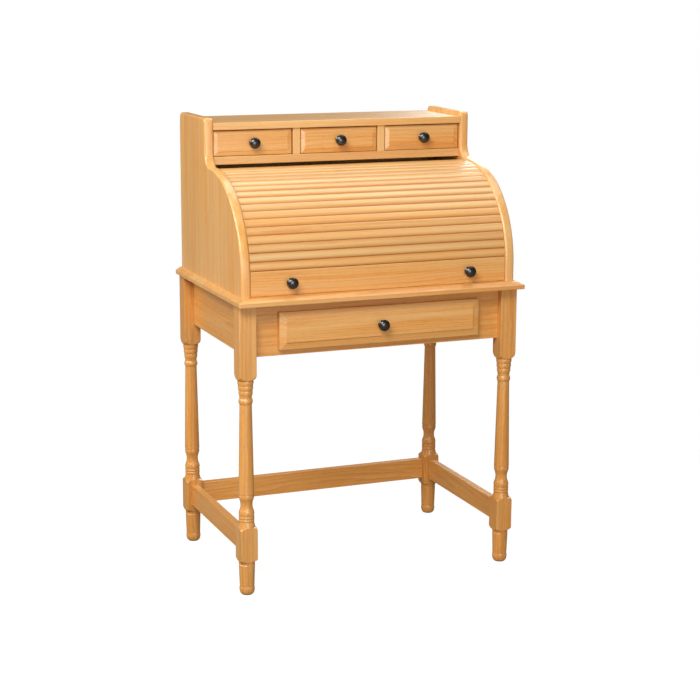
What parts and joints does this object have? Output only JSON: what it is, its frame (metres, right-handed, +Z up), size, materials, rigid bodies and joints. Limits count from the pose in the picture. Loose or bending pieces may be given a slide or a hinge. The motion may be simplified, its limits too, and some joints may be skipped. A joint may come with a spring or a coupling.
{
  "type": "roll-top desk",
  "caption": "Roll-top writing desk on turned legs: a curved tambour rolls back under a gallery of small drawers, with one wide drawer under the board.",
  "frame": {"origin": "on the floor, under the middle of the writing board", "axes": "+Z up, +Y towards the back of the desk, +X to the sitter's right"},
  "size_m": [0.772, 0.541, 1.175],
  "materials": {
    "oak_across": "satin lacquered oak, grain across the desk",
    "oak_upright": "satin lacquered oak, grain upright",
    "oak_deep": "satin lacquered oak, grain from front to back",
    "drawer_wood": "plain sanded pale wood",
    "plywood": "plain sanded plywood",
    "knob_bronze": "dark bronze, semi-gloss",
    "screw_steel": "plain steel",
    "canvas": "unbleached canvas",
    "glide_plastic": "dark moulded plastic"
  },
  "bodies": {
    "desk": {"apron_back": "oak_across", "apron_front": "oak_across", "apron_left": "oak_deep", "apron_right": "oak_deep", "case_back": "plywood", "corner_blocks": "drawer_wood", "desk_top": "oak_across", "divider_left": "oak_upright", "divider_right": "oak_upright", "drawer_deck": "drawer_wood", "drawer_kickers": "drawer_wood", "drawer_rail": "oak_across", "drawer_runner_left": "drawer_wood", "drawer_runner_right": "drawer_wood", "foot_glides": "glide_plastic", "gallery_top": "oak_across", "leg_back_left": "oak_upright", "leg_back_right": "oak_upright", "leg_front_left": "oak_upright", "leg_front_right": "oak_upright", "panel_screws": "screw_steel", "side_panel_left": "oak_upright", "side_panel_right": "oak_upright", "stretcher_back": "oak_across", "stretcher_left": "oak_deep", "stretcher_right": "oak_deep", "top_screws": "screw_steel"},
    "tambour": {"lift_knob_left": "knob_bronze", "lift_knob_right": "knob_bronze", "lift_knob_screws": "screw_steel", "lift_rail": "oak_across", "tambour_canvas": "canvas", "tambour_slats": "oak_across"},
    "main_drawer": {"main_drawer_back": "drawer_wood", "main_drawer_bottom": "plywood", "main_drawer_front": "oak_across", "main_drawer_inner_front": "drawer_wood", "main_drawer_knob": "knob_bronze", "main_drawer_knob_screw": "screw_steel", "main_drawer_side_left": "drawer_wood", "main_drawer_side_right": "drawer_wood"},
    "small_drawer_left": {"small_drawer_left_back": "drawer_wood", "small_drawer_left_bottom": "plywood", "small_drawer_left_front": "oak_across", "small_drawer_left_knob": "knob_bronze", "small_drawer_left_knob_screw": "screw_steel", "small_drawer_left_sides": "drawer_wood"},
    "small_drawer_middle": {"small_drawer_middle_back": "drawer_wood", "small_drawer_middle_bottom": "plywood", "small_drawer_middle_front": "oak_across", "small_drawer_middle_knob": "knob_bronze", "small_drawer_middle_knob_screw": "screw_steel", "small_drawer_middle_sides": "drawer_wood"},
    "small_drawer_right": {"small_drawer_right_back": "drawer_wood", "small_drawer_right_bottom": "plywood", "small_drawer_right_front": "oak_across", "small_drawer_right_knob": "knob_bronze", "small_drawer_right_knob_screw": "screw_steel", "small_drawer_right_sides": "drawer_wood"}
  },
  "joints": [
    {"name": "tambour_roll", "type": "hinge", "parent": "desk", "child": "tambour", "pos_m": [0, 0.012, 0.803], "axis": [-1, 0, 0], "range_deg": [0, 85]},
    {"name": "main_drawer_slide", "type": "slide", "parent": "desk", "child": "main_drawer", "axis": [0, -1, 0], "range_m": [0, 0.33]},
    {"name": "small_drawer_left_slide", "type": "slide", "parent": "desk", "child": "small_drawer_left", "axis": [0, -1, 0], "range_m": [0, 0.14]},
    {"name": "small_drawer_middle_slide", "type": "slide", "parent": "desk", "child": "small_drawer_middle", "axis": [0, -1, 0], "range_m": [0, 0.14]},
    {"name": "small_drawer_right_slide", "type": "slide", "parent": "desk", "child": "small_drawer_right", "axis": [0, -1, 0], "range_m": [0, 0.14]}
  ]
}
